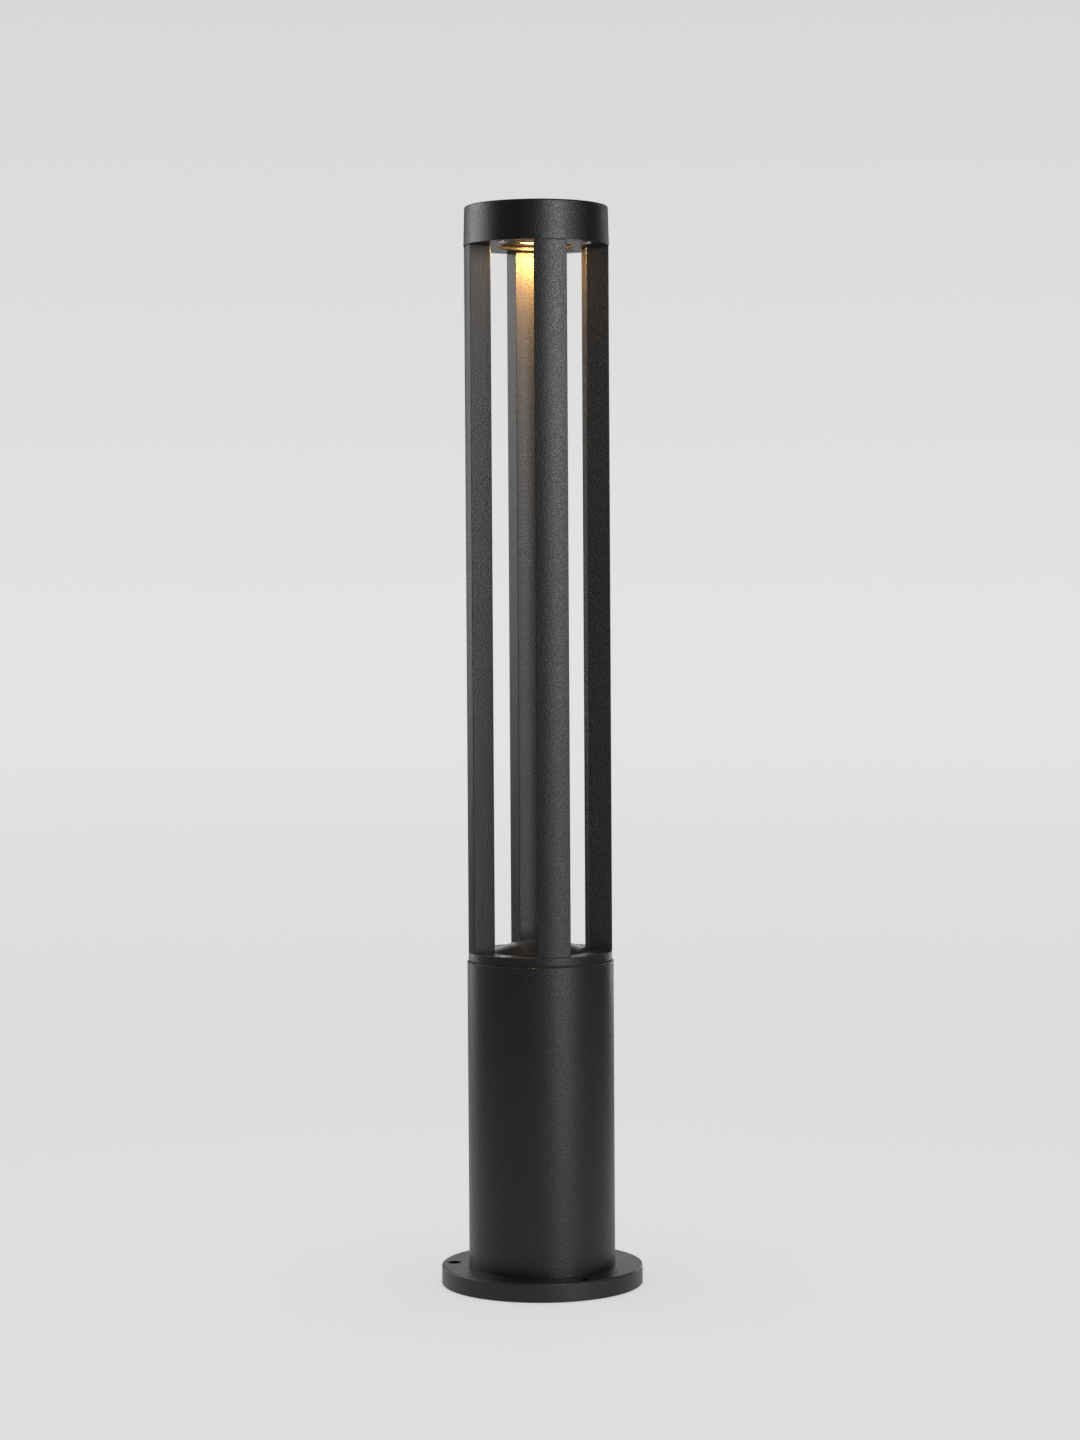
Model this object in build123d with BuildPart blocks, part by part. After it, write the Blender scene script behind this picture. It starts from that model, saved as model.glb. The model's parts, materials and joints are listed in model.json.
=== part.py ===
from build123d import *

import os
from math import cos, radians, sin

# Bollard light: a round post with an open lantern of four pillars under a lit head.
# Millimetres. +Z is up. The origin is at the centre of the base flange's underside, on the ground.
# The pillars stand on +X, +Y, -X and -Y, and -Y is the front.

# Post
total_height = 800
flange_radius = 75
flange_thickness = 14
flange_edge = 1.2
tube_radius = 54.5
tube_wall = 3
tube_top = 241.5
port_circle = 45
port_radius = 5
port_bore = 2.5

# Ground fixing and cable entry
anchor_circle = 66
anchor_hole_radius = 5
anchor_angles = (-75, 45, 165)
pocket_radius = 55
pocket_depth = 2.5
tube_screw_seat = pocket_depth + 6
cable_radius = 5
grommet_neck = 10
grommet_lip = 13
grommet_bottom = 0.8
grommet_top = flange_thickness + 2

# Collar
gasket_thickness = 1
collar_radius = 53.5
collar_top = 248.5
collar_bottom = tube_top + gasket_thickness
dome_radius = 36.4
dome_rim = 0.4
dome_rise = 7.7
dome_skin = 1.5
dome_boss_radius = 5

# Pillars
pillar_outer = 53.5
pillar_inner = 36.9
pillar_spread = 26.8
pillar_wall = 2
pillar_pad = 0.5
pillar_edge = 0.5
pillar_screw_circle = 44
pillar_screw_side = 6.6
pillar_port_radius = 3.3

# Head
head_bottom = 771
head_radius_bottom = 53.9
head_radius_top = 53.1
cap_wall = 3.4
cap_edge = 1.2
cap_boss_radius = 3.5
skirt_inner = 50.5
cap_ceiling = 796
plate_radius = 50.2
plate_top = head_bottom + 5
cap_ledge_inner = 48.6
cap_screw_sink = 1.2

# Lamp, stacked upwards from the recess in the head's underside
aperture_radius = 28.7
bezel_lip_inner = aperture_radius - 1.3
bezel_radius = 31.6
bezel_face = head_bottom + 2.7
seal_thickness = 0.5
bezel_ring_outer = 38
bezel_ring_inner = 26
bezel_ring_thickness = 1.5
bezel_ring_screw_circle = 34.8
lens_radius = 12.4
lens_flange = lens_radius + 2.4
lens_seat = bezel_face + 1.5
lens_top = lens_seat + 3
emitter_radius = 6
board_radius = 20
board_bottom = lens_top + 6.2
board_top = board_bottom + 1.6
thermal_pad_top = board_top + 0.5
sink_radius = 35
sink_top = thermal_pad_top + 4
fin_circle = 31
fin_spacing = 6
fin_thickness = 1.6
spacer_circle = 40
spacer_start = 22
spacer_radius = 3.4

# Control gear inside the post
tray_front = 5.2
tray_thickness = 2
tray_half_width = 25
tray_foot = 34
tray_top = 210
driver_width = 42
driver_depth = 30
driver_bottom = 95
driver_top = 195
driver_lug = 4
wire_inlets = [(-9, -14), (9, -14)]
lead_outlet = (0, -10)
lead_socket = 6
block_width = 34
block_depth = 14
block_bottom = 58
block_top = 76
pole_spacing = 11
pole_radius = 3
pole_y = -2.5
earth_point = (20, 52)
clamp_bottom = 22
clamp_height = 10
clamp_strap = 1.5

# Fasteners and leads: M3, M4 and M5 shanks, and the room left round each
m3, m4, m5 = 1.5, 2.0, 2.45
tap_gap = 0.05
clearance = 0.25
head_ratio = 1.8
flush_ratio = 1.9
lamp_lead_radius = 1.8
wire_radius = 1.2


def turned(x, y, angle):
    """A point of the ground plane turned about Z."""
    turn = radians(angle)
    return (x * cos(turn) - y * sin(turn), x * sin(turn) + y * cos(turn))


centre = [(0, 0)]
diagonals = [turned(port_circle, 0, angle) for angle in (45, 135, 225, 315)]
anchors = [turned(anchor_circle, 0, angle) for angle in anchor_angles]
pillar_angles = {"right": 0, "rear": 90, "left": 180, "front": 270}
pillar_screws = [
    turned(pillar_screw_circle, side, angle)
    for angle in pillar_angles.values()
    for side in (-pillar_screw_side, pillar_screw_side)
]
lead_duct = [(0, pillar_screw_circle)]
bezel_ring_screws = [turned(bezel_ring_screw_circle, 0, angle) for angle in (0, 90, 180, 270)]
sink_spacers = [turned(spacer_circle, 0, spacer_start + turn) for turn in (0, 90, 180, 270)]
tray_screws = [(-17, 24), (17, 24)]
driver_screws = [(0, driver_bottom - 4), (0, driver_top + 4)]
block_middle = (block_bottom + block_top) / 2
block_screws = [(-pole_spacing / 2, block_middle), (pole_spacing / 2, block_middle)]
clamp_screws = [(-11, clamp_bottom + clamp_height / 2), (11, clamp_bottom + clamp_height / 2)]
poles = [-pole_spacing, 0, pole_spacing]


def save(piece, name):
    """Label a finished piece and write it as its own node."""
    piece.label = name
    export_step(piece, f"parts/{name}.step")


def level(height):
    """A horizontal plane that faces up."""
    return Plane.XY.offset(height)


def underside(height):
    """A horizontal plane that faces down. The hole patterns used on it are symmetric about X."""
    return Plane(origin=(0, 0, height), x_dir=(1, 0, 0), z_dir=(0, 0, -1))


def upright(depth):
    """A vertical plane at y = depth that faces the front; its own Y axis is up."""
    return Plane.XZ.offset(-depth)


def discs(plane, points, radius):
    """Equal circles on a plane."""
    with BuildSketch(plane) as sketch:
        with Locations(*points):
            Circle(radius)
    return sketch.sketch


def hexagons(plane, points, radius):
    """Equal hexagons on a plane, for drive sockets."""
    with BuildSketch(plane) as sketch:
        with Locations(*points):
            RegularPolygon(radius, 6)
    return sketch.sketch


def flat_ring(plane, outer, inner):
    """A ring centred on the plane's origin."""
    with BuildSketch(plane) as sketch:
        Circle(outer)
        Circle(inner, mode=Mode.SUBTRACT)
    return sketch.sketch


def turned_profile(*points):
    """A closed outline of (radius, height) points, to revolve about Z."""
    with BuildSketch(Plane.XZ) as sketch:
        with BuildLine():
            Polyline(*points, close=True)
        make_face()
    return sketch.sketch


def button_screws(name, seat, points, shank, length):
    """Round-headed socket screws. The seat plane faces out of the heads."""
    head_radius = shank * head_ratio
    head_height = shank * 1.1
    outward = Axis(seat.origin, seat.z_dir)
    with BuildPart() as screws:
        extrude(discs(seat, points, head_radius), amount=head_height)
        fillet(screws.edges().group_by(outward)[-1], head_height * 0.6)
        sockets = hexagons(seat.offset(head_height), points, shank * 0.7)
        extrude(sockets, amount=-head_height * 0.6, mode=Mode.SUBTRACT)
        extrude(discs(seat, points, shank), amount=-length)
        chamfer(screws.edges().group_by(outward)[0], shank * 0.25)
    save(screws.part, name)


def flush_screws(name, seat, points, shank, length):
    """Countersunk socket screws, flush with the seat plane, which faces out of the heads."""
    head_radius = shank * flush_ratio
    outward = Axis(seat.origin, seat.z_dir)
    with BuildPart() as screws:
        extrude(discs(seat, points, shank), amount=-length)
        chamfer(screws.edges().group_by(outward)[0], shank * 0.25)
        for place in discs(seat, points, head_radius).faces():
            with Locations(Plane(origin=place.center(), z_dir=-seat.z_dir)):
                Cone(
                    head_radius,
                    shank,
                    head_radius - shank,
                    align=(Align.CENTER, Align.CENTER, Align.MIN),
                )
        extrude(hexagons(seat, points, shank * 0.8), amount=-shank * 0.8, mode=Mode.SUBTRACT)
    save(screws.part, name)


def countersinks(seat, points, shank, depth):
    """Cut clearance holes with conical seats for flush screws into the part being built."""
    head_radius = shank * flush_ratio + clearance
    extrude(discs(seat, points, shank + clearance), amount=-depth, mode=Mode.SUBTRACT)
    for place in discs(seat, points, head_radius).faces():
        with Locations(Plane(origin=place.center(), z_dir=-seat.z_dir)):
            Cone(
                head_radius,
                shank + clearance,
                head_radius - shank - clearance,
                align=(Align.CENTER, Align.CENTER, Align.MIN),
                mode=Mode.SUBTRACT,
            )


def base_flange():
    """Round foot with three anchor holes and a shallow pocket underneath for the cable."""
    with BuildPart() as flange:
        extrude(discs(level(0), centre, flange_radius), amount=flange_thickness)
        fillet(flange.edges().group_by(Axis.Z)[-1], flange_edge)
        chamfer(flange.edges().group_by(Axis.Z)[0], flange_edge / 2)
        extrude(discs(level(0), centre, pocket_radius), amount=pocket_depth, mode=Mode.SUBTRACT)
        for points, radius, depth in (
            (anchors, anchor_hole_radius, flange_thickness),
            (centre, grommet_neck, flange_thickness),
            (diagonals, m5 + clearance, flange_thickness),
            (diagonals, m5 * head_ratio + 0.4, tube_screw_seat),
        ):
            extrude(discs(level(0), points, radius), amount=depth, mode=Mode.SUBTRACT)
        taps = discs(level(flange_thickness), tray_screws, m4 + tap_gap)
        extrude(taps, amount=-9, mode=Mode.SUBTRACT)
    save(flange.part, "base_flange")
    button_screws("tube_screws", underside(tube_screw_seat), diagonals, m5, 22)


def base_tube():
    """Extruded tube with four screw ports, each joined to the wall by a web."""
    web_thickness = 4
    web_length = tube_radius - tube_wall / 2 - port_circle
    with BuildPart() as tube:
        with BuildSketch(level(flange_thickness)):
            Circle(tube_radius)
            Circle(tube_radius - tube_wall, mode=Mode.SUBTRACT)
            with Locations(*diagonals):
                Circle(port_radius)
            with PolarLocations(port_circle + web_length / 2, 4, start_angle=45):
                Rectangle(web_length, web_thickness)
            with Locations(*diagonals):
                Circle(port_bore, mode=Mode.SUBTRACT)
        extrude(amount=tube_top - flange_thickness)
        rims = tube.edges().group_by(Axis.Z)[-1].filter_by(GeomType.CIRCLE)
        chamfer(rims.sort_by(SortBy.LENGTH)[-1], 0.4)
    save(tube.part, "base_tube")


def cable_grommet():
    """Rubber lining of the cable hole, with a lip on each side of the flange."""
    with BuildPart() as grommet:
        profile = turned_profile(
            (cable_radius, grommet_bottom),
            (grommet_lip, grommet_bottom),
            (grommet_lip, pocket_depth),
            (grommet_neck, pocket_depth),
            (grommet_neck, flange_thickness),
            (grommet_lip, flange_thickness),
            (grommet_neck + 1, grommet_top),
            (cable_radius, grommet_top),
        )
        revolve(profile, axis=Axis.Z)
    save(grommet.part, "cable_grommet")


def gear_tray():
    """Bent plate on the flange that carries the control gear, notched round the grommet."""
    tray_back = tray_front + tray_thickness
    foot_top = flange_thickness + tray_thickness
    with BuildPart() as tray:
        with BuildSketch(Plane.YZ):
            with BuildLine():
                Polyline(
                    (tray_front, flange_thickness),
                    (tray_foot, flange_thickness),
                    (tray_foot, foot_top),
                    (tray_back, foot_top),
                    (tray_back, tray_top),
                    (tray_front, tray_top),
                    close=True,
                )
            make_face()
        extrude(amount=tray_half_width, both=True)
        bend = tray.edges().filter_by(Axis.X).filter_by_position(Axis.Y, tray_front, tray_back)
        fillet(bend.group_by(Axis.Z)[0], tray_thickness + 1)
        fillet(bend.group_by(Axis.Z)[1], 1)
        fillet(tray.edges().filter_by(Axis.Y).group_by(Axis.Z)[-1], 4)
        fillet(tray.edges().filter_by(Axis.Z).group_by(Axis.Y)[-1], 6)
        notch = discs(level(flange_thickness), centre, grommet_lip + 1)
        extrude(notch, amount=6, mode=Mode.SUBTRACT)
        foot_holes = discs(level(flange_thickness), tray_screws, m4 + clearance)
        extrude(foot_holes, amount=tray_thickness, mode=Mode.SUBTRACT)
        for points, radius in (
            (driver_screws, m4),
            (block_screws, m3),
            (clamp_screws, m4),
            ([earth_point], m4),
        ):
            taps = discs(upright(tray_front), points, radius + tap_gap)
            extrude(taps, amount=-tray_thickness, mode=Mode.SUBTRACT)
    save(tray.part, "gear_tray")
    button_screws("tray_screws", level(foot_top), tray_screws, m4, 10)


def led_driver():
    """Closed power supply with a fixing lug at each end."""
    height = driver_top - driver_bottom
    middle = (driver_bottom + driver_top) / 2
    lug_width = 16
    with BuildPart() as driver:
        with Locations((0, tray_front - driver_depth / 2, middle)):
            Box(driver_width, driver_depth, height)
        fillet(driver.edges().filter_by(Axis.Z), 2)
        fillet(driver.edges().group_by(Axis.Y)[0], 1)
        with Locations((0, tray_front - driver_lug / 2, middle)):
            Box(lug_width, driver_lug, height + lug_width)
        lug_holes = discs(upright(tray_front), driver_screws, m4 + clearance)
        extrude(lug_holes, amount=driver_lug, mode=Mode.SUBTRACT)
        inlets = discs(level(driver_bottom), wire_inlets, wire_radius + tap_gap)
        extrude(inlets, amount=lead_socket, mode=Mode.SUBTRACT)
        outlet = discs(level(driver_top), [lead_outlet], lamp_lead_radius + tap_gap)
        extrude(outlet, amount=-lead_socket, mode=Mode.SUBTRACT)
    save(driver.part, "led_driver")
    button_screws("driver_screws", upright(tray_front - driver_lug), driver_screws, m4, 6)


def terminal_block():
    """Three-pole block: a tunnel and two clamp screws for each pole, and two fixing screws."""
    block_front = tray_front - block_depth
    block_height = block_top - block_bottom
    well_depth = 8
    clamp_bottom_end = level(block_bottom + 1)
    clamp_length = block_height - 2
    tunnels = [(x, pole_y) for x in poles]
    pole_screws = [(x, z) for x in poles for z in (block_bottom + 4.5, block_top - 4.5)]
    with BuildPart() as block:
        with Locations((0, tray_front - block_depth / 2, block_middle)):
            Box(block_width, block_depth, block_height)
        fillet(block.edges().filter_by(Axis.Z).group_by(Axis.Y)[0], 1)
        bores = discs(level(block_bottom), tunnels, pole_radius)
        extrude(bores, amount=block_height, mode=Mode.SUBTRACT)
        shafts = discs(upright(block_front), pole_screws, m3 + tap_gap)
        extrude(shafts, amount=-4, mode=Mode.SUBTRACT)
        fixings = discs(upright(block_front), block_screws, m3 + clearance)
        extrude(fixings, amount=-block_depth, mode=Mode.SUBTRACT)
        wells = discs(upright(block_front), block_screws, m5)
        extrude(wells, amount=-well_depth, mode=Mode.SUBTRACT)
    save(block.part, "terminal_block")

    with BuildPart() as clamps:
        extrude(discs(clamp_bottom_end, tunnels, pole_radius - tap_gap), amount=clamp_length)
        bores = discs(clamp_bottom_end, tunnels, wire_radius + 0.7)
        extrude(bores, amount=clamp_length, mode=Mode.SUBTRACT)
        taps = discs(upright(pole_y), pole_screws, m3 + tap_gap)
        extrude(taps, amount=pole_radius, mode=Mode.SUBTRACT)
    save(clamps.part, "terminal_clamps")

    heads = upright(block_front + 0.6)
    with BuildPart() as screws:
        extrude(discs(heads, pole_screws, m3), amount=-3.6)
        with BuildSketch(heads):
            with Locations(*pole_screws):
                Rectangle(2 * m3, 0.5)
        extrude(amount=-0.8, mode=Mode.SUBTRACT)
    save(screws.part, "terminal_screws")
    button_screws("block_screws", upright(block_front + well_depth), block_screws, m3 * 0.9, 8)


def cable_clamp():
    """Saddle strap that holds the supply cable to the tray."""
    inner = cable_radius + 0.2
    outer = inner + clamp_strap
    strap_width = 30
    with BuildPart() as clamp:
        with BuildSketch(level(clamp_bottom)):
            Circle(outer)
            with Locations((0, tray_front / 2)):
                Rectangle(2 * outer, tray_front)
            with Locations((0, tray_front - clamp_strap / 2)):
                Rectangle(strap_width, clamp_strap)
            Circle(inner, mode=Mode.SUBTRACT)
            with Locations((0, tray_front / 2)):
                Rectangle(2 * inner, tray_front + 1, mode=Mode.SUBTRACT)
            with Locations((0, tray_front + outer / 2)):
                Rectangle(2 * outer, outer, mode=Mode.SUBTRACT)
        extrude(amount=clamp_height)
        holes = discs(upright(tray_front), clamp_screws, m4 + clearance)
        extrude(holes, amount=clamp_strap, mode=Mode.SUBTRACT)
    save(clamp.part, "cable_clamp")
    seat = upright(tray_front - clamp_strap)
    button_screws("cable_clamp_screws", seat, clamp_screws, m4 * 0.95, 3.4)


def earth_bond():
    """Screw, ring tag and lead that bond the tray to the protective earth."""
    tag_thickness = 0.8
    barrel_radius = 1.9
    x, z = earth_point
    barrel_y = tray_front - tag_thickness - 1.6
    barrel_bottom = z - 11
    with BuildPart() as tag:
        with BuildSketch(upright(tray_front)):
            with Locations(earth_point):
                Circle(3.8)
            with Locations((x, z - 4)):
                Rectangle(2.6, 5)
            with Locations(earth_point):
                Circle(m4 + tap_gap, mode=Mode.SUBTRACT)
        extrude(amount=tag_thickness)
        barrel = level(barrel_bottom)
        extrude(discs(barrel, [(x, barrel_y)], barrel_radius), amount=6)
        bore = discs(barrel, [(x, barrel_y)], wire_radius + tap_gap)
        extrude(bore, amount=5, mode=Mode.SUBTRACT)
    save(tag.part, "earth_tag")
    button_screws("earth_screw", upright(tray_front - tag_thickness), [earth_point], m4, 5)
    low = z - 20
    route = [
        (pole_spacing, pole_y, block_bottom + 6),
        (pole_spacing, pole_y, low),
        (x, barrel_y, low),
        (x, barrel_y, barrel_bottom + 4),
    ]
    lead("earth_lead", route, [5, 5], wire_radius)


def lead(name, route, bends, radius):
    """A round lead that follows straight runs joined by tangent arcs."""
    with BuildPart() as wire:
        with BuildLine() as path:
            FilletPolyline(*route, radius=bends)
        with BuildSketch(Plane(origin=path.line @ 0, z_dir=path.line % 0)):
            Circle(radius)
        sweep()
    save(wire.part, name)


def supply_leads():
    """Live and neutral, from the terminal block up into the driver."""
    for name, pole, inlet in (
        ("live_lead", poles[0], wire_inlets[0]),
        ("neutral_lead", poles[1], wire_inlets[1]),
    ):
        route = [
            (pole, pole_y, block_top - 8),
            (pole, pole_y, block_top + 5),
            (*inlet, driver_bottom - 5),
            (*inlet, driver_bottom + 5),
        ]
        lead(name, route, [7, 7], wire_radius)


def lamp_lead():
    """From the driver over the tray, up the rear pillar and across the head to the board."""
    x, y = lead_duct[0]
    entry_height = board_bottom - 2
    connector_depth = 5.6
    connector_back = board_radius
    socket_depth = 3
    route = [
        (*lead_outlet, driver_top - 5),
        (*lead_outlet, driver_top + 21),
        (x, y, tube_top - 11.5),
        (x, y, entry_height),
        (x, connector_back - 2.4, entry_height),
    ]
    lead("lamp_lead", route, [13, 13, 6], lamp_lead_radius)
    with BuildPart() as connector:
        with Locations((0, connector_back - connector_depth / 2, entry_height)):
            Box(8, connector_depth, 4)
        fillet(connector.edges().filter_by(Axis.Z), 0.5)
        socket = discs(upright(connector_back), [(x, entry_height)], lamp_lead_radius + tap_gap)
        extrude(socket, amount=socket_depth, mode=Mode.SUBTRACT)
    save(connector.part, "lead_connector")


def collar():
    """Cover plate of the post, its gasket and its flush screws."""
    thickness = collar_top - collar_bottom
    edge = 0.3
    gasket_inner = 40
    with BuildPart() as gasket:
        ring = flat_ring(level(tube_top), collar_radius - edge, gasket_inner)
        extrude(ring, amount=gasket_thickness)
        holes = discs(level(tube_top), diagonals + lead_duct, m5 + clearance)
        extrude(holes, amount=gasket_thickness, mode=Mode.SUBTRACT)
    save(gasket.part, "collar_gasket")

    with BuildPart() as cover:
        extrude(discs(level(collar_bottom), centre, collar_radius), amount=thickness)
        chamfer(cover.edges().group_by(Axis.Z)[-1], edge)
        chamfer(cover.edges().group_by(Axis.Z)[0], edge)
        countersinks(level(collar_top), diagonals, m5, thickness)
        countersinks(underside(collar_bottom), pillar_screws, m4, thickness)
        plain_holes = discs(level(collar_top), centre + lead_duct, m4 + clearance)
        extrude(plain_holes, amount=-thickness, mode=Mode.SUBTRACT)
    save(cover.part, "collar")
    flush_screws("collar_screws", level(collar_top), diagonals, m5, 22)
    flush_screws("pillar_bottom_screws", underside(collar_bottom), pillar_screws, m4, 22)


def reflector_dome():
    """Spun shallow dome on the collar, with a threaded boss under its crown."""
    rim_top = collar_top + dome_rim
    crown = rim_top + dome_rise
    roof = crown - dome_skin
    sphere = (dome_radius**2 + dome_rise**2) / (2 * dome_rise)
    inner_radius = dome_radius - 2 * dome_skin
    inner_rise = roof - collar_top
    inner_sphere = (inner_radius**2 + inner_rise**2) / (2 * inner_rise)
    washer_thickness = 0.8
    with BuildPart() as dome:
        with BuildSketch(Plane.XZ):
            with BuildLine():
                Line((inner_radius, collar_top), (dome_radius, collar_top))
                Line((dome_radius, collar_top), (dome_radius, rim_top))
                RadiusArc((dome_radius, rim_top), (0, crown), -sphere)
                Line((0, crown), (0, roof))
                RadiusArc((0, roof), (inner_radius, collar_top), inner_sphere)
            make_face()
        revolve(axis=Axis.Z)
        boss = discs(level(collar_top), centre, dome_boss_radius)
        extrude(boss, amount=dome_rim + dome_rise - dome_skin / 2)
        tap = discs(level(collar_top), centre, m4 + tap_gap)
        extrude(tap, amount=dome_rise - 2, mode=Mode.SUBTRACT)
    save(dome.part, "reflector_dome")

    with BuildPart() as washer:
        ring = flat_ring(underside(collar_bottom), dome_boss_radius, m4 + clearance)
        extrude(ring, amount=washer_thickness)
    save(washer.part, "dome_washer")
    length = washer_thickness + collar_top - collar_bottom + 5
    button_screws("dome_screw", underside(collar_bottom - washer_thickness), centre, m4, length)


def pillar_outline(plane, inset):
    """A ring sector about +X of the plane, drawn in by the inset on every side."""
    half = pillar_spread / 2
    with BuildSketch(plane) as sketch:
        with BuildLine():
            outer = CenterArc((0, 0), pillar_outer, -half, pillar_spread)
            inner = CenterArc((0, 0), pillar_inner, -half, pillar_spread)
            Line(inner @ 0, outer @ 0)
            Line(inner @ 1, outer @ 1)
        make_face()
        if inset:
            offset(amount=-inset, kind=Kind.INTERSECTION, mode=Mode.REPLACE)
        fillet(sketch.vertices(), pillar_edge)
    return sketch.sketch


def pillar(name, angle):
    """Hollow extrusion with two screw ports and a duct between them, on a thin pad at each end."""
    bottom = collar_top + pillar_pad
    top = head_bottom - pillar_pad
    plane = level(bottom).rotated((0, 0, angle))
    ports = [(pillar_screw_circle, side) for side in (-pillar_screw_side, pillar_screw_side)]
    with BuildPart() as post:
        extrude(pillar_outline(plane, 0), amount=top - bottom)
        extrude(pillar_outline(plane, pillar_wall), amount=top - bottom, mode=Mode.SUBTRACT)
        extrude(discs(plane, ports, pillar_port_radius), amount=top - bottom)
        extrude(discs(plane, ports, m4 + tap_gap), amount=top - bottom, mode=Mode.SUBTRACT)
    save(post.part, name)


def pillar_pads(name, height):
    """Four thin rubber pads, one at the end of each pillar."""
    inset = 0.3
    with BuildPart() as pads:
        for angle in pillar_angles.values():
            plane = level(height).rotated((0, 0, angle))
            extrude(pillar_outline(plane, inset), amount=pillar_pad)
        holes = discs(level(height), pillar_screws + lead_duct, m4 + clearance)
        extrude(holes, amount=pillar_pad, mode=Mode.SUBTRACT)
    save(pads.part, name)


def head_plate():
    """Plate that closes the head from below, with a shallow round recess for the lamp."""
    thickness = plate_top - head_bottom
    aperture_edge = 0.4
    seat_height = bezel_face - seal_thickness
    with BuildPart() as plate:
        extrude(flat_ring(level(head_bottom), plate_radius, aperture_radius), amount=thickness)
        lower_rims = plate.edges().group_by(Axis.Z)[0]
        chamfer(lower_rims.sort_by(SortBy.LENGTH)[0], aperture_edge)
        seat = discs(level(seat_height), centre, bezel_radius + 0.4)
        extrude(seat, amount=plate_top - seat_height, mode=Mode.SUBTRACT)
        for points, radius, depth in (
            (diagonals, m4 + clearance, thickness),
            (diagonals, m4 * 2, cap_screw_sink),
            (pillar_screws + lead_duct, m4 + clearance, thickness),
        ):
            extrude(discs(level(head_bottom), points, radius), amount=depth, mode=Mode.SUBTRACT)
        taps = discs(level(plate_top), bezel_ring_screws + sink_spacers, m3 + tap_gap)
        extrude(taps, amount=-3.5, mode=Mode.SUBTRACT)
    save(plate.part, "head_plate")
    button_screws("pillar_top_screws", level(plate_top), pillar_screws, m4 * 0.97, 20)
    button_screws("cap_screws", underside(head_bottom + cap_screw_sink), diagonals, m4, 16)


def head_cap():
    """Cast cap with a slight draft, a seating ledge and four screw bosses."""
    cavity_radius = head_radius_top - cap_wall
    gasket_top = plate_top + 1
    ledge_top = gasket_top + 3
    with BuildPart() as cap:
        outline = turned_profile(
            (0, head_bottom),
            (head_radius_bottom, head_bottom),
            (head_radius_top, total_height),
            (0, total_height),
        )
        revolve(outline, axis=Axis.Z)
        fillet(cap.edges().group_by(Axis.Z)[-1], cap_edge)
        chamfer(cap.edges().group_by(Axis.Z)[0], cap_edge / 4)
        hollow = turned_profile(
            (0, head_bottom),
            (skirt_inner, head_bottom),
            (skirt_inner, gasket_top),
            (cap_ledge_inner, gasket_top),
            (cap_ledge_inner, ledge_top),
            (cavity_radius, ledge_top + cavity_radius - cap_ledge_inner),
            (cavity_radius, cap_ceiling),
            (0, cap_ceiling),
        )
        revolve(hollow, axis=Axis.Z, mode=Mode.SUBTRACT)
        bosses = discs(level(plate_top), diagonals, cap_boss_radius)
        extrude(bosses, amount=cap_ceiling - plate_top + 1)
        taps = discs(level(plate_top), diagonals, m4 + tap_gap)
        extrude(taps, amount=14, mode=Mode.SUBTRACT)
    save(cap.part, "head_cap")

    with BuildPart() as gasket:
        ring = flat_ring(level(plate_top), plate_radius, cap_ledge_inner)
        extrude(ring, amount=gasket_top - plate_top)
    save(gasket.part, "cap_gasket")


def lamp_bezel():
    """Black carrier of the lens, held by a ring from above. Its lip lines the plate's hole."""
    bore = lens_radius + 0.1
    rebate = lens_flange + 0.2
    rim = lens_flange + 3.2
    lip_outer = aperture_radius - 0.15
    lip_bottom = head_bottom + 0.3
    with BuildPart() as seal:
        seat = level(bezel_face - seal_thickness)
        extrude(flat_ring(seat, bezel_radius, aperture_radius + 0.4), amount=seal_thickness)
    save(seal.part, "bezel_seal")

    with BuildPart() as bezel:
        profile = turned_profile(
            (bore, bezel_face + 0.5),
            (bore + 0.5, bezel_face),
            (bezel_lip_inner, bezel_face),
            (bezel_lip_inner, lip_bottom),
            (lip_outer, lip_bottom),
            (lip_outer, bezel_face),
            (bezel_radius, bezel_face),
            (bezel_radius, plate_top),
            (rim, plate_top),
            (rim, lens_top),
            (rebate, lens_top),
            (rebate, lens_seat),
            (bore, lens_seat),
        )
        revolve(profile, axis=Axis.Z)
    save(bezel.part, "lamp_bezel")

    with BuildPart() as clamp_ring:
        ring = flat_ring(level(plate_top), bezel_ring_outer, bezel_ring_inner)
        extrude(ring, amount=bezel_ring_thickness)
        holes = discs(level(plate_top), bezel_ring_screws, m3 + clearance)
        extrude(holes, amount=bezel_ring_thickness, mode=Mode.SUBTRACT)
        notches = discs(level(plate_top), sink_spacers, spacer_radius + 0.4)
        extrude(notches, amount=bezel_ring_thickness, mode=Mode.SUBTRACT)
    save(clamp_ring.part, "bezel_ring")
    ring_top = level(plate_top + bezel_ring_thickness)
    button_screws("bezel_ring_screws", ring_top, bezel_ring_screws, m3, 4.5)

    with BuildPart() as lens_seal:
        ring = flat_ring(level(lens_seat), lens_flange, lens_radius + 0.3)
        extrude(ring, amount=seal_thickness)
    save(lens_seal.part, "lens_seal")

    face = bezel_face + 0.3
    flange_bottom = lens_seat + seal_thickness
    with BuildPart() as lens:
        extrude(discs(level(flange_bottom), centre, lens_flange), amount=lens_top - flange_bottom)
        extrude(discs(level(face), centre, lens_radius), amount=flange_bottom - face)
        fillet(lens.edges().group_by(Axis.Z)[0], 0.3)
    save(lens.part, "lamp_lens")


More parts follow.
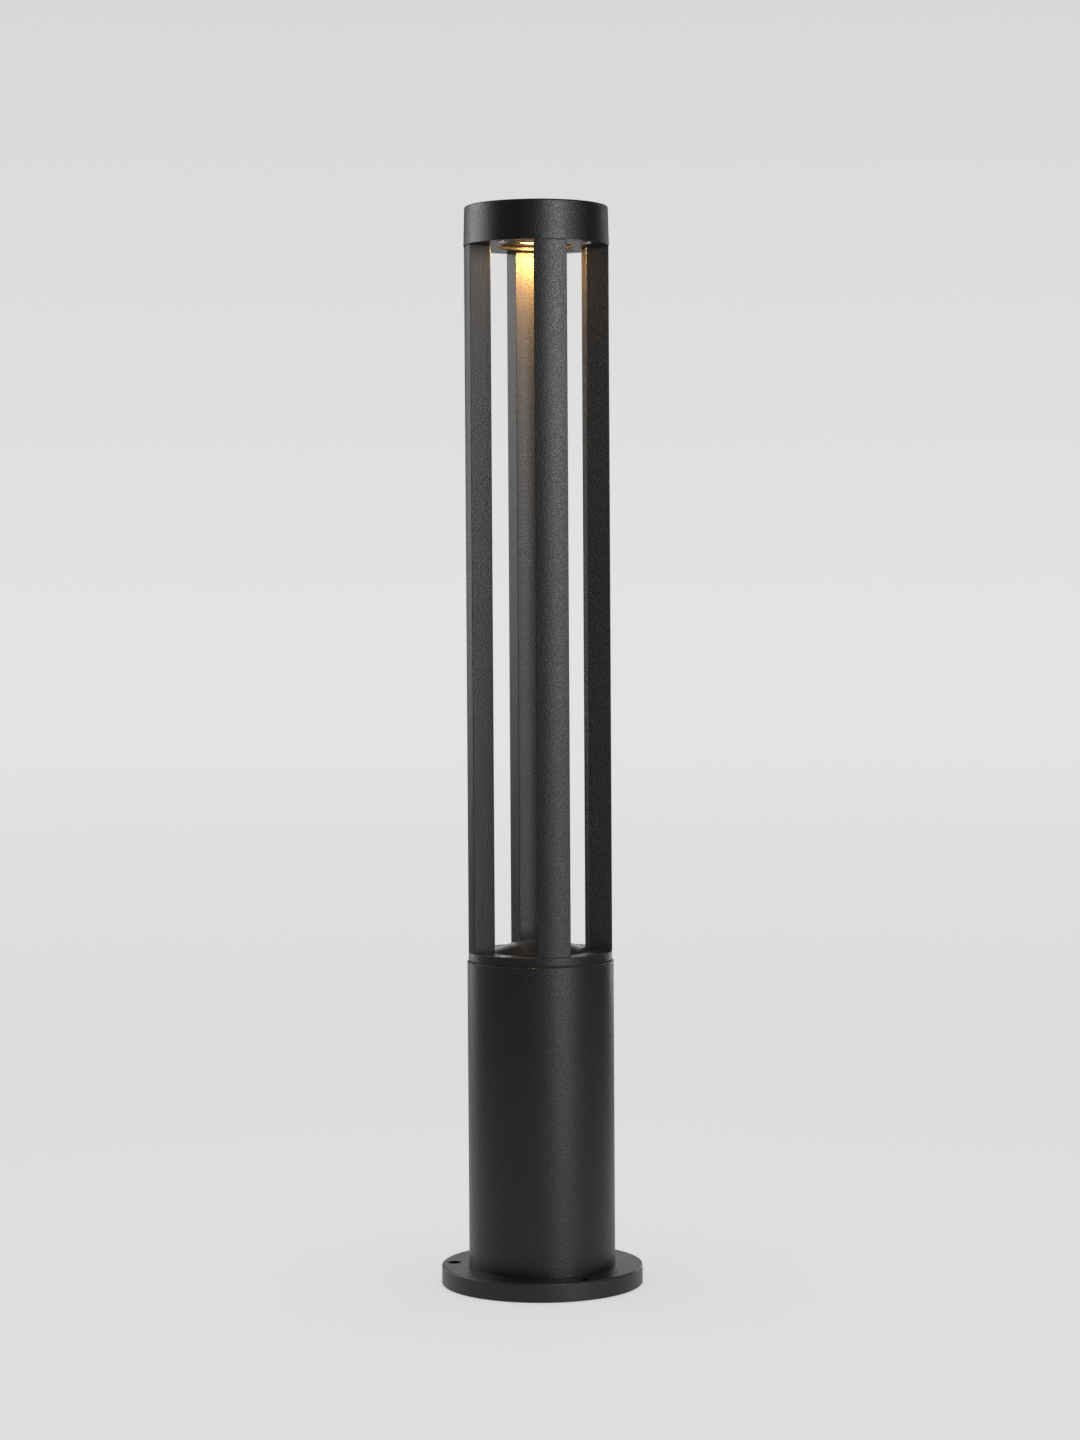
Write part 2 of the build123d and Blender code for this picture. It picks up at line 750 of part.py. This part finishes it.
def light_source():
    """Shaping cup, LED emitter on its board, thermal pad and heat sink on four spacers."""
    sink_foot = sink_top - thermal_pad_top
    with BuildPart() as cup:
        profile = turned_profile(
            (lens_radius - 0.4, lens_top),
            (lens_flange, lens_top),
            (emitter_radius + 4, board_bottom),
            (emitter_radius + 0.5, board_bottom),
        )
        revolve(profile, axis=Axis.Z)
    save(cup.part, "light_cup")

    with BuildPart() as emitter:
        extrude(discs(underside(board_bottom), centre, emitter_radius), amount=0.9)
        fillet(emitter.edges().group_by(Axis.Z)[0], 0.3)
    save(emitter.part, "led_emitter")

    with BuildPart() as board:
        disc = discs(level(board_bottom), centre, board_radius)
        extrude(disc, amount=board_top - board_bottom)
    save(board.part, "led_board")

    with BuildPart() as thermal_pad:
        disc = discs(level(board_top), centre, board_radius - 1)
        extrude(disc, amount=thermal_pad_top - board_top)
    save(thermal_pad.part, "thermal_pad")

    with BuildPart() as sink:
        with BuildSketch(level(thermal_pad_top)):
            Circle(sink_radius)
            with PolarLocations(sink_radius, 4, start_angle=spacer_start):
                Rectangle(18, 8)
        extrude(amount=sink_foot)
        holes = discs(level(thermal_pad_top), sink_spacers, m3 + clearance)
        extrude(holes, amount=sink_foot, mode=Mode.SUBTRACT)
        with BuildSketch(level(sink_top)):
            with GridLocations(fin_spacing, 1, 9, 1):
                Rectangle(fin_thickness, 2 * fin_circle)
            Circle(fin_circle, mode=Mode.INTERSECT)
        extrude(amount=cap_ceiling - 0.8 - sink_top)
    save(sink.part, "heat_sink")

    with BuildPart() as spacers:
        posts = discs(level(plate_top), sink_spacers, spacer_radius)
        extrude(posts, amount=thermal_pad_top - plate_top)
        bores = discs(level(thermal_pad_top), sink_spacers, m3 + tap_gap)
        extrude(bores, amount=-6, mode=Mode.SUBTRACT)
        extrude(discs(level(plate_top), sink_spacers, m3), amount=-3)
    save(spacers.part, "heat_sink_spacers")
    button_screws("heat_sink_screws", level(sink_top), sink_spacers, m3, 9)


os.makedirs("parts", exist_ok=True)
base_flange()
base_tube()
cable_grommet()
gear_tray()
led_driver()
terminal_block()
cable_clamp()
earth_bond()
supply_leads()
lamp_lead()
collar()
reflector_dome()
for side, direction in pillar_angles.items():
    pillar(f"pillar_{side}", direction)
pillar_pads("pillar_bottom_pads", collar_top)
pillar_pads("pillar_top_pads", head_bottom - pillar_pad)
head_plate()
head_cap()
lamp_bezel()
light_source()
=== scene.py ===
import json
import math

import bmesh
import bpy
from mathutils import Matrix, Vector


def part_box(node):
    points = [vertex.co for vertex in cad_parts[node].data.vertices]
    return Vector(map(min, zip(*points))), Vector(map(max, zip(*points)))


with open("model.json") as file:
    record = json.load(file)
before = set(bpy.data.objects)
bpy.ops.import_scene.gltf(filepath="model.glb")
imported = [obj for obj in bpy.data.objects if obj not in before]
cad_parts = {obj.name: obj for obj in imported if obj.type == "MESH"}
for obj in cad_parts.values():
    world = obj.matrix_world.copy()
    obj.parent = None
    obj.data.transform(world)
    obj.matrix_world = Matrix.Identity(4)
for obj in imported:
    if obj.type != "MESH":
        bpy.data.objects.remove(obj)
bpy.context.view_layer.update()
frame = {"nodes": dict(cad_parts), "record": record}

# ---------------------------------------------------------------- camera

CAMERA_AZIMUTH = math.radians(-11.3)
CAMERA_DISTANCE = 2.4036
CAMERA_HEIGHT = 0.508
CAMERA_SIDE = 0.0007
CAMERA_PITCH = math.radians(2.084)
CAMERA_ROLL = math.radians(-0.35)
CAMERA_LENS = 80.84


def make_camera():
    """A long lens at about the lantern's middle height, looking slightly down."""
    data = bpy.data.cameras.new("camera")
    data.lens = CAMERA_LENS
    data.sensor_width = 36.0
    data.clip_start = 0.05
    data.clip_end = 100.0
    camera = bpy.data.objects.new("camera", data)
    away = Vector((math.sin(CAMERA_AZIMUTH), -math.cos(CAMERA_AZIMUTH), 0.0))
    right = Vector((math.cos(CAMERA_AZIMUTH), math.sin(CAMERA_AZIMUTH), 0.0))
    place = away * CAMERA_DISTANCE + right * CAMERA_SIDE + Vector((0.0, 0.0, CAMERA_HEIGHT))
    aim = (
        Matrix.Rotation(CAMERA_AZIMUTH, 4, "Z")
        @ Matrix.Rotation(math.radians(90.0) - CAMERA_PITCH, 4, "X")
        @ Matrix.Rotation(CAMERA_ROLL, 4, "Z")
    )
    camera.matrix_world = Matrix.Translation(place) @ aim
    bpy.context.scene.collection.objects.link(camera)
    bpy.context.scene.camera = camera


# ---------------------------------------------------------------- material nodes


class Nodes:
    """A material's node tree, with short calls to add and link nodes."""

    def __init__(self, name):
        self.material = bpy.data.materials.new(name)
        self.material.use_nodes = True
        self.tree = self.material.node_tree
        self.tree.nodes.clear()
        self.shader = self.add("ShaderNodeBsdfPrincipled")
        self.output = self.add("ShaderNodeOutputMaterial")
        self.link(self.shader.outputs["BSDF"], self.output.inputs["Surface"])
        self.place = self.add("ShaderNodeTexCoord").outputs["Object"]

    def add(self, kind, **values):
        node = self.tree.nodes.new(kind)
        for key, value in values.items():
            setattr(node, key, value)
        return node

    def link(self, source, target):
        self.tree.links.new(source, target)

    def set(self, **values):
        """Constant values on the shader's own sockets; underscores stand for spaces."""
        for key, value in values.items():
            self.shader.inputs[key.replace("_", " ")].default_value = value

    def drive(self, **sources):
        """Links textures to the shader's sockets; underscores stand for spaces."""
        for key, source in sources.items():
            self.link(source, self.shader.inputs[key.replace("_", " ")])

    def stretched(self, scale):
        """Object coordinates scaled apart along X, Y and Z."""
        mapping = self.add("ShaderNodeMapping")
        mapping.inputs["Scale"].default_value = scale
        self.link(self.place, mapping.inputs["Vector"])
        return mapping.outputs["Vector"]

    def math(self, operation, first, second):
        """Arithmetic on a texture value and a number or another texture value."""
        node = self.add("ShaderNodeMath", operation=operation)
        for socket, value in zip(node.inputs, (first, second)):
            if isinstance(value, float):
                socket.default_value = value
            else:
                self.link(value, socket)
        return node.outputs["Value"]

    def noise(self, scale, detail=4.0, roughness=0.5, place=None):
        node = self.add("ShaderNodeTexNoise")
        node.inputs["Scale"].default_value = scale
        node.inputs["Detail"].default_value = detail
        node.inputs["Roughness"].default_value = roughness
        self.link(place or self.place, node.inputs["Vector"])
        return node.outputs["Fac"]

    def cells(self, scale, output="Distance"):
        node = self.add("ShaderNodeTexVoronoi", feature="F1")
        node.inputs["Scale"].default_value = scale
        self.link(self.place, node.inputs["Vector"])
        return node.outputs[output]

    def radius(self):
        """Distance from the post's axis."""
        node = self.add("ShaderNodeVectorMath", operation="LENGTH")
        self.link(self.stretched((1.0, 1.0, 0.0)), node.inputs[0])
        return node.outputs["Value"]

    def ramp(self, source, low, high, colour_low, colour_high):
        """Maps a value between two limits to a grey or a colour."""
        node = self.add("ShaderNodeValToRGB")
        node.color_ramp.elements[0].position = low
        node.color_ramp.elements[1].position = high
        node.color_ramp.elements[0].color = (*colour_low, 1.0)
        node.color_ramp.elements[1].color = (*colour_high, 1.0)
        self.link(source, node.inputs["Fac"])
        return node.outputs["Color"]

    def spread(self, source, low, high, start=0.3, end=0.7):
        """Maps the middle range of a texture to a range of values."""
        node = self.add("ShaderNodeMapRange")
        node.inputs["From Min"].default_value = start
        node.inputs["From Max"].default_value = end
        node.inputs["To Min"].default_value = low
        node.inputs["To Max"].default_value = high
        self.link(source, node.inputs["Value"])
        return node.outputs["Result"]

    def bump(self, height, distance, strength=1.0, below=None):
        node = self.add("ShaderNodeBump")
        node.inputs["Distance"].default_value = distance
        node.inputs["Strength"].default_value = strength
        self.link(height, node.inputs["Height"])
        if below:
            self.link(below, node.inputs["Normal"])
        return node.outputs["Normal"]


def shade(colour, factor):
    return tuple(channel * factor for channel in colour)


# Light of the lens and of the emitter behind it
LENS_COLOUR = (1.0, 0.62, 0.24, 1.0)
LENS_STRENGTH = 3.6
PHOSPHOR_STRENGTH = 1.0

# ---------------------------------------------------------------- outer finishes


def powder_coat():
    """Fine-textured near-black powder coat: grains about 1 mm apart, finer grit, faint clouds."""
    m = Nodes("powder_coat_black")
    grain = m.noise(820.0, 2.0, 0.6)
    grit = m.noise(2900.0, 2.0, 0.6)
    cloud = m.noise(14.0, 5.0, 0.6)
    tint = m.ramp(cloud, 0.3, 0.75, (0.0072, 0.0072, 0.0074), (0.0098, 0.0098, 0.0100))
    m.drive(Base_Color=tint, Roughness=m.spread(grain, 0.29, 0.47))
    grain_normal = m.bump(grain, 0.00028, 0.8)
    m.drive(Normal=m.bump(grit, 0.00004, 0.45, grain_normal))
    m.set(IOR=1.5)
    return m.material


def satin_dome():
    """Satin black paint over spun metal, whose turning marks run round the axis."""
    m = Nodes("dome_satin_black")
    turning = m.add("ShaderNodeTexNoise", noise_dimensions="1D")
    turning.inputs["Scale"].default_value = 1400.0
    m.link(m.radius(), turning.inputs["W"])
    patches = m.noise(30.0)
    m.drive(Base_Color=m.ramp(patches, 0.3, 0.7, (0.010, 0.010, 0.010), (0.014, 0.014, 0.014)))
    m.drive(Roughness=m.spread(m.noise(90.0), 0.27, 0.33))
    ring_normal = m.bump(turning.outputs["Fac"], 0.00002, 0.5)
    m.drive(Normal=m.bump(m.noise(2200.0, 2.0), 0.00003, 0.3, ring_normal))
    return m.material


def lit_glass():
    """Frosted lens, lit from behind and evenly bright."""
    m = Nodes("lens_lit_frosted")
    m.set(Base_Color=(0.95, 0.92, 0.85, 1.0), Roughness=0.4)
    m.set(Emission_Color=LENS_COLOUR, Emission_Strength=LENS_STRENGTH)
    m.drive(Normal=m.bump(m.noise(3000.0, 2.0), 0.00002, 0.4))
    return m.material


def rubber():
    """Matte black rubber with a fine moulded grain and a trace of grey bloom."""
    m = Nodes("rubber_black")
    bloom = m.noise(160.0, 5.0, 0.65)
    m.drive(Base_Color=m.ramp(bloom, 0.4, 0.8, (0.010, 0.010, 0.010), (0.022, 0.022, 0.021)))
    m.drive(Roughness=m.spread(bloom, 0.62, 0.78))
    m.drive(Normal=m.bump(m.noise(2600.0, 3.0), 0.00006, 0.5))
    return m.material


# ---------------------------------------------------------------- metals


def turned_metal(name, colour, roughness, tarnish):
    """Bright metal with fine turning marks, uneven gloss and a thin tarnish."""
    m = Nodes(name)
    film = m.noise(260.0, 5.0, 0.6)
    marks = m.noise(1500.0, 2.0, 0.5, m.stretched((1.0, 1.0, 5.0)))
    m.drive(Base_Color=m.ramp(film, 0.35, 0.75, colour, tarnish))
    m.drive(Roughness=m.spread(marks, roughness - 0.06, roughness + 0.08))
    m.drive(Normal=m.bump(marks, 0.00001, 0.6))
    m.set(Metallic=1.0)
    return m.material


def spangled_metal(name, colour, roughness, crystal):
    """Zinc coat whose crystals differ a little in brightness and gloss."""
    m = Nodes(name)
    split = m.add("ShaderNodeSeparateColor")
    m.link(m.cells(crystal, output="Color"), split.inputs["Color"])
    facet = split.outputs["Red"]
    m.drive(Base_Color=m.ramp(facet, 0.0, 1.0, shade(colour, 0.82), colour))
    m.drive(Roughness=m.spread(facet, roughness - 0.08, roughness + 0.1, 0.0, 1.0))
    m.drive(Normal=m.bump(m.noise(crystal * 3.0, 3.0), 0.00002, 0.5))
    m.set(Metallic=1.0)
    return m.material


def drawn_aluminium():
    """Extruded aluminium with die lines along Y."""
    m = Nodes("aluminium_drawn")
    lines = m.noise(700.0, 3.0, 0.6, m.stretched((1.0, 0.02, 1.0)))
    m.drive(Base_Color=m.ramp(m.noise(80.0), 0.3, 0.7, (0.66, 0.66, 0.67), (0.76, 0.76, 0.77)))
    m.drive(Roughness=m.spread(lines, 0.28, 0.44), Normal=m.bump(lines, 0.00003, 0.5))
    m.set(Metallic=1.0)
    return m.material


# ---------------------------------------------------------------- plastics and the rest


def moulded_plastic(name, colour, roughness, texture=1800.0, relief=0.00003):
    """Spark-eroded moulding: fine even texture, faint flow clouds in colour and gloss."""
    m = Nodes(name)
    flow = m.noise(45.0, 4.0, 0.55)
    m.drive(Base_Color=m.ramp(flow, 0.3, 0.7, shade(colour, 0.9), colour))
    m.drive(Roughness=m.spread(flow, roughness - 0.05, roughness + 0.05))
    m.drive(Normal=m.bump(m.noise(texture, 2.0), relief, 0.5))
    return m.material


def speckled(name, colour, speck_colour, roughness, specks, share):
    """A filled or granular body: a base colour with small specks of another."""
    m = Nodes(name)
    grains = m.cells(specks)
    m.drive(Base_Color=m.ramp(grains, share, share + 0.15, speck_colour, colour))
    m.drive(Roughness=m.spread(m.noise(300.0), roughness - 0.06, roughness + 0.06))
    m.drive(Normal=m.bump(grains, 0.00003, 0.4))
    return m


def circuit_board():
    """White solder mask over a metal core, with shallow rings where the copper lies."""
    m = Nodes("board_white_mask")
    tracks = m.math("PINGPONG", m.radius(), 0.0024)
    relief = m.spread(tracks, 0.0, 1.0, 0.0010, 0.0013)
    m.drive(Base_Color=m.ramp(relief, 0.0, 1.0, (0.72, 0.73, 0.71), (0.82, 0.83, 0.81)))
    m.drive(Roughness=m.spread(m.noise(200.0), 0.30, 0.42), Normal=m.bump(relief, 0.00003, 0.8))
    return m.material


def earth_insulation():
    """Green and yellow insulation in slanting bands."""
    m = Nodes("lead_green_yellow")
    band = m.add("ShaderNodeTexWave", bands_direction="DIAGONAL")
    band.inputs["Scale"].default_value = 55.0
    m.link(m.place, band.inputs["Vector"])
    green, yellow = (0.03, 0.22, 0.04), (0.75, 0.62, 0.03)
    m.drive(Base_Color=m.ramp(band.outputs["Fac"], 0.48, 0.52, green, yellow))
    m.drive(Roughness=m.spread(m.noise(400.0), 0.38, 0.5))
    m.drive(Normal=m.bump(m.noise(1500.0), 0.00002, 0.4))
    return m.material


def make_materials():
    amber, pale_amber = (0.86, 0.62, 0.12), (0.95, 0.78, 0.25)
    phosphor = speckled("phosphor_yellow", amber, pale_amber, 0.5, 2600.0, 0.2)
    phosphor.set(Emission_Color=LENS_COLOUR, Emission_Strength=PHOSPHOR_STRENGTH)
    grey, pale_grey = (0.42, 0.43, 0.46), (0.56, 0.56, 0.58)
    thermal = speckled("thermal_pad_grey", grey, pale_grey, 0.85, 1400.0, 0.15)
    reflector = moulded_plastic("cup_white_gloss", (0.88, 0.88, 0.87), 0.14, 500.0, 0.00001)
    return {
        "powder_coat": powder_coat(),
        "dome_coat": satin_dome(),
        "stainless": turned_metal("stainless_turned", (0.58, 0.57, 0.55), 0.28, (0.46, 0.44, 0.41)),
        "zinc_steel": spangled_metal("steel_zinc_plated", (0.58, 0.60, 0.64), 0.34, 1800.0),
        "black_rubber": rubber(),
        "bare_aluminium": drawn_aluminium(),
        "galvanised_tray": spangled_metal("steel_galvanised", (0.62, 0.64, 0.67), 0.42, 160.0),
        "black_plastic": moulded_plastic("plastic_black", (0.010, 0.010, 0.0105), 0.36),
        "white_plastic": moulded_plastic("plastic_white", (0.80, 0.80, 0.77), 0.48),
        "grey_plastic": moulded_plastic("plastic_grey", (0.34, 0.35, 0.36), 0.5),
        "brass": turned_metal("brass_turned", (0.80, 0.58, 0.25), 0.26, (0.62, 0.42, 0.17)),
        "tinned_copper": turned_metal("copper_tinned", (0.74, 0.72, 0.69), 0.3, (0.64, 0.55, 0.47)),
        "thermal_grey": thermal.material,
        "board_white": circuit_board(),
        "phosphor": phosphor.material,
        "frosted_glass": lit_glass(),
        "reflector_white": reflector,
        "lead_black": moulded_plastic("lead_pvc_black", (0.016, 0.016, 0.016), 0.46, 1400.0),
        "lead_brown": moulded_plastic("lead_pvc_brown", (0.11, 0.045, 0.022), 0.44, 1400.0),
        "lead_blue": moulded_plastic("lead_pvc_blue", (0.03, 0.12, 0.48), 0.44, 1400.0),
        "lead_earth": earth_insulation(),
    }


def dress_nodes():
    """Each CAD node takes the material of its slot in the record."""
    made = make_materials()
    for part in frame["record"]["subparts"]:
        node = frame["nodes"][part["node"]]
        node.data.materials.clear()
        node.data.materials.append(made[part["material_slot"]])


# ---------------------------------------------------------------- studio

# TONE is a brightness to the eye, LIGHT is the brightness that lights the object
BACKDROP_TONE_LOW = 0.765
BACKDROP_TONE_HIGH = 0.69
BACKDROP_TOP = 0.18
BACKDROP_LIGHT_SIDES = 0.03
BACKDROP_LIGHT_OVERHEAD = 0.45
OVERHEAD_START = 0.55
FLOOR_RADIUS = 20.0
FLOOR_GAP = 0.0002
FLOOR_ALBEDO = 0.78
FLOOR_TONE_NEAR = 0.47
FLOOR_TONE_MIDDLE = 0.72
FLOOR_LIGHT_NEAR = 0.40
FLOOR_LIGHT_FAR = 0.12
FLOOR_FADE = (0.35, 1.5)
FLOOR_RISE = (1.5, 8.0)
OVERHEAD_BOX_HEIGHT = 2.6
OVERHEAD_BOX_SIZE = (3.0, 3.0)
OVERHEAD_BOX_RADIANCE = 0.62
AIM_HEIGHT = 0.45
LAMP_DIAMETER = 0.0248
LAMP_GAP = 0.0002
LAMP_COLOUR = (1.0, 0.50, 0.14)
LAMP_RADIANCE = 780.0
LAMP_RADIANCE_SIDES = 430.0

# Softboxes: azimuth from the camera to its right, distance, height, (width, height), radiance
SOFTBOXES = {
    "key_front": (20.0, 1.5, 1.05, (0.26, 0.30), 3.0),
    "key_high": (31.0, 1.5, 0.90, (0.26, 0.62), 16.0),
    "key_low": (31.0, 1.5, 0.15, (0.26, 0.30), 10.0),
    "key_side": (41.0, 1.5, 0.90, (0.26, 0.62), 3.7),
    "low_side": (46.0, 1.5, 0.15, (0.45, 0.30), 2.1),
    "wing_right": (60.0, 1.5, 1.05, (0.26, 0.30), 5.0),
    "panel_left": (-100.0, 2.5, 1.50, (0.80, 0.90), 7.5),
    "panel_rear_left": (-120.0, 2.5, 1.50, (0.80, 0.90), 7.5),
    "rear_left_low": (-140.0, 2.5, 0.65, (0.87, 0.80), 1.5),
    "rear_right_low": (160.0, 2.5, 0.65, (0.87, 0.80), 1.3),
    "rear_right_high": (140.0, 2.5, 1.50, (0.80, 0.90), 1.4),
    "rear_middle": (180.0, 2.5, 0.65, (0.87, 0.80), 1.1),
}
# The same for the low strips that light the post alone
FOOT_LIGHTS = {
    "rear_left_foot": (-140.0, 2.5, 0.10, (0.87, 0.25), 4.6),
    "rear_right_foot": (152.0, 2.5, 0.10, (0.87, 0.25), 4.6),
}
POST_NODES = ("base_flange", "base_tube", "collar_gasket", "collar")
SIDE_PILLARS = ("pillar_left", "pillar_right")


def eye_or_light(tree, light, eye):
    """One strength for light that reaches the object and another for what the camera sees."""
    path = tree.nodes.new("ShaderNodeLightPath")
    node = tree.nodes.new("ShaderNodeMapRange")
    node.inputs["To Min"].default_value = light
    node.inputs["To Max"].default_value = eye
    tree.links.new(path.outputs["Is Camera Ray"], node.inputs["Value"])
    return node


def make_world():
    """Pale backdrop to the eye; for light, nearly dark at the sides and bright overhead."""
    world = bpy.data.worlds.new("studio")
    world.use_nodes = True
    tree = world.node_tree
    tree.nodes.clear()
    output = tree.nodes.new("ShaderNodeOutputWorld")
    background = tree.nodes.new("ShaderNodeBackground")
    background.inputs["Color"].default_value = (1.0, 1.0, 1.0, 1.0)
    split = tree.nodes.new("ShaderNodeSeparateXYZ")
    overhead = tree.nodes.new("ShaderNodeMapRange")
    overhead.interpolation_type = "SMOOTHSTEP"
    overhead.inputs["From Min"].default_value = OVERHEAD_START
    overhead.inputs["To Min"].default_value = BACKDROP_LIGHT_SIDES
    overhead.inputs["To Max"].default_value = BACKDROP_LIGHT_OVERHEAD
    to_the_eye = tree.nodes.new("ShaderNodeMapRange")
    to_the_eye.inputs["From Max"].default_value = BACKDROP_TOP
    to_the_eye.inputs["To Min"].default_value = BACKDROP_TONE_LOW
    to_the_eye.inputs["To Max"].default_value = BACKDROP_TONE_HIGH
    strength = eye_or_light(tree, 0.0, 0.0)
    link = tree.links.new
    link(tree.nodes.new("ShaderNodeTexCoord").outputs["Generated"], split.inputs["Vector"])
    link(split.outputs["Z"], overhead.inputs["Value"])
    link(split.outputs["Z"], to_the_eye.inputs["Value"])
    link(to_the_eye.outputs["Result"], strength.inputs["To Max"])
    link(overhead.outputs["Result"], strength.inputs["To Min"])
    link(strength.outputs["Result"], background.inputs["Strength"])
    link(background.outputs["Background"], output.inputs["Surface"])
    bpy.context.scene.world = world


def area_light(name, place, towards, size, radiance, shines_on):
    """A rectangular softbox of the given radiance, unseen by the camera."""
    data = bpy.data.lights.new(name, "AREA")
    data.shape = "RECTANGLE"
    data.size, data.size_y = size
    data.energy = math.pi * size[0] * size[1] * radiance
    light = bpy.data.objects.new(name, data)
    turn = (towards - place).to_track_quat("-Z", "Y").to_matrix().to_4x4()
    light.matrix_world = Matrix.Translation(place) @ turn
    bpy.context.scene.collection.objects.link(light)
    light.visible_camera = False
    light.light_linking.receiver_collection = shines_on


def lit_group(name, members):
    """A collection of the objects that a light shines on."""
    group = bpy.data.collections.new(name)
    for member in members:
        group.objects.link(member)
    return group


def make_softboxes(table, shines_on):
    """Softboxes round the object, which light the given group and leave the floor even."""
    for name, (azimuth, distance, height, size, radiance) in table.items():
        angle = CAMERA_AZIMUTH + math.radians(azimuth)
        place = Vector((math.sin(angle) * distance, -math.cos(angle) * distance, height))
        area_light(name, place, Vector((0.0, 0.0, AIM_HEIGHT)), size, radiance, shines_on)


def make_lamp(name, radiance, shines_on):
    """The light that leaves the lens: a warm disc of its size, just below its face."""
    lens_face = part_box("lamp_lens")[0][2]
    data = bpy.data.lights.new(name, "AREA")
    data.shape = "DISK"
    data.size = LAMP_DIAMETER
    data.color = LAMP_COLOUR
    data.energy = math.pi * math.pi * (data.size / 2.0) ** 2 * radiance
    lamp = bpy.data.objects.new(name, data)
    lamp.location = (0.0, 0.0, lens_face - LAMP_GAP)
    bpy.context.scene.collection.objects.link(lamp)
    lamp.visible_camera = False
    lamp.light_linking.receiver_collection = shines_on


def make_floor():
    """Plain pale floor that fades into the backdrop, and its own light from overhead."""
    mesh = bpy.data.meshes.new("floor")
    maker = bmesh.new()
    bmesh.ops.create_circle(maker, cap_ends=True, segments=96, radius=FLOOR_RADIUS)
    maker.to_mesh(mesh)
    maker.free()
    floor = bpy.data.objects.new("floor", mesh)
    floor.location.z = -FLOOR_GAP
    m = Nodes("floor_pale")
    tint = m.ramp(m.noise(6.0, 3.0), 0.3, 0.7, (FLOOR_ALBEDO - 0.01,) * 3, (FLOOR_ALBEDO,) * 3)
    near_glow = eye_or_light(m.tree, FLOOR_LIGHT_NEAR, FLOOR_TONE_NEAR)
    m.drive(Base_Color=tint, Emission_Strength=near_glow.outputs["Result"])
    m.set(Roughness=0.6, Emission_Color=(1.0, 1.0, 1.0, 1.0))
    m.drive(Normal=m.bump(m.noise(900.0, 3.0), 0.00005, 0.3))
    far = m.add("ShaderNodeEmission")
    rise = m.add("ShaderNodeMapRange")
    rise.inputs["From Min"].default_value, rise.inputs["From Max"].default_value = FLOOR_RISE
    rise.inputs["To Min"].default_value = FLOOR_TONE_MIDDLE
    rise.inputs["To Max"].default_value = BACKDROP_TONE_LOW
    m.link(m.radius(), rise.inputs["Value"])
    far_glow = eye_or_light(m.tree, FLOOR_LIGHT_FAR, 0.0)
    m.link(rise.outputs["Result"], far_glow.inputs["To Max"])
    m.link(far_glow.outputs["Result"], far.inputs["Strength"])
    fade = m.add("ShaderNodeMapRange", interpolation_type="SMOOTHSTEP")
    fade.inputs["From Min"].default_value, fade.inputs["From Max"].default_value = FLOOR_FADE
    m.link(m.radius(), fade.inputs["Value"])
    mix = m.add("ShaderNodeMixShader")
    m.link(fade.outputs["Result"], mix.inputs["Fac"])
    m.link(m.shader.outputs["BSDF"], mix.inputs[1])
    m.link(far.outputs["Emission"], mix.inputs[2])
    m.link(mix.outputs["Shader"], m.output.inputs["Surface"])
    mesh.materials.append(m.material)
    bpy.context.scene.collection.objects.link(floor)
    above = Vector((0.0, 0.0, OVERHEAD_BOX_HEIGHT))
    below = Vector((0.0, 0.0, 0.0))
    floor_only = lit_group("floor_only", [floor])
    area_light("overhead", above, below, OVERHEAD_BOX_SIZE, OVERHEAD_BOX_RADIANCE, floor_only)


make_camera()
dress_nodes()
make_world()
nodes = frame["nodes"]
make_softboxes(SOFTBOXES, lit_group("bollard_only", nodes.values()))
make_softboxes(FOOT_LIGHTS, lit_group("post_only", [nodes[name] for name in POST_NODES]))
middle = [node for name, node in nodes.items() if name not in SIDE_PILLARS]
make_lamp("lamp", LAMP_RADIANCE, lit_group("all_but_side_pillars", middle))
sides = [nodes[name] for name in SIDE_PILLARS]
make_lamp("lamp_sides", LAMP_RADIANCE_SIDES, lit_group("side_pillars", sides))
make_floor()
bpy.context.scene.view_settings.view_transform = "Standard"
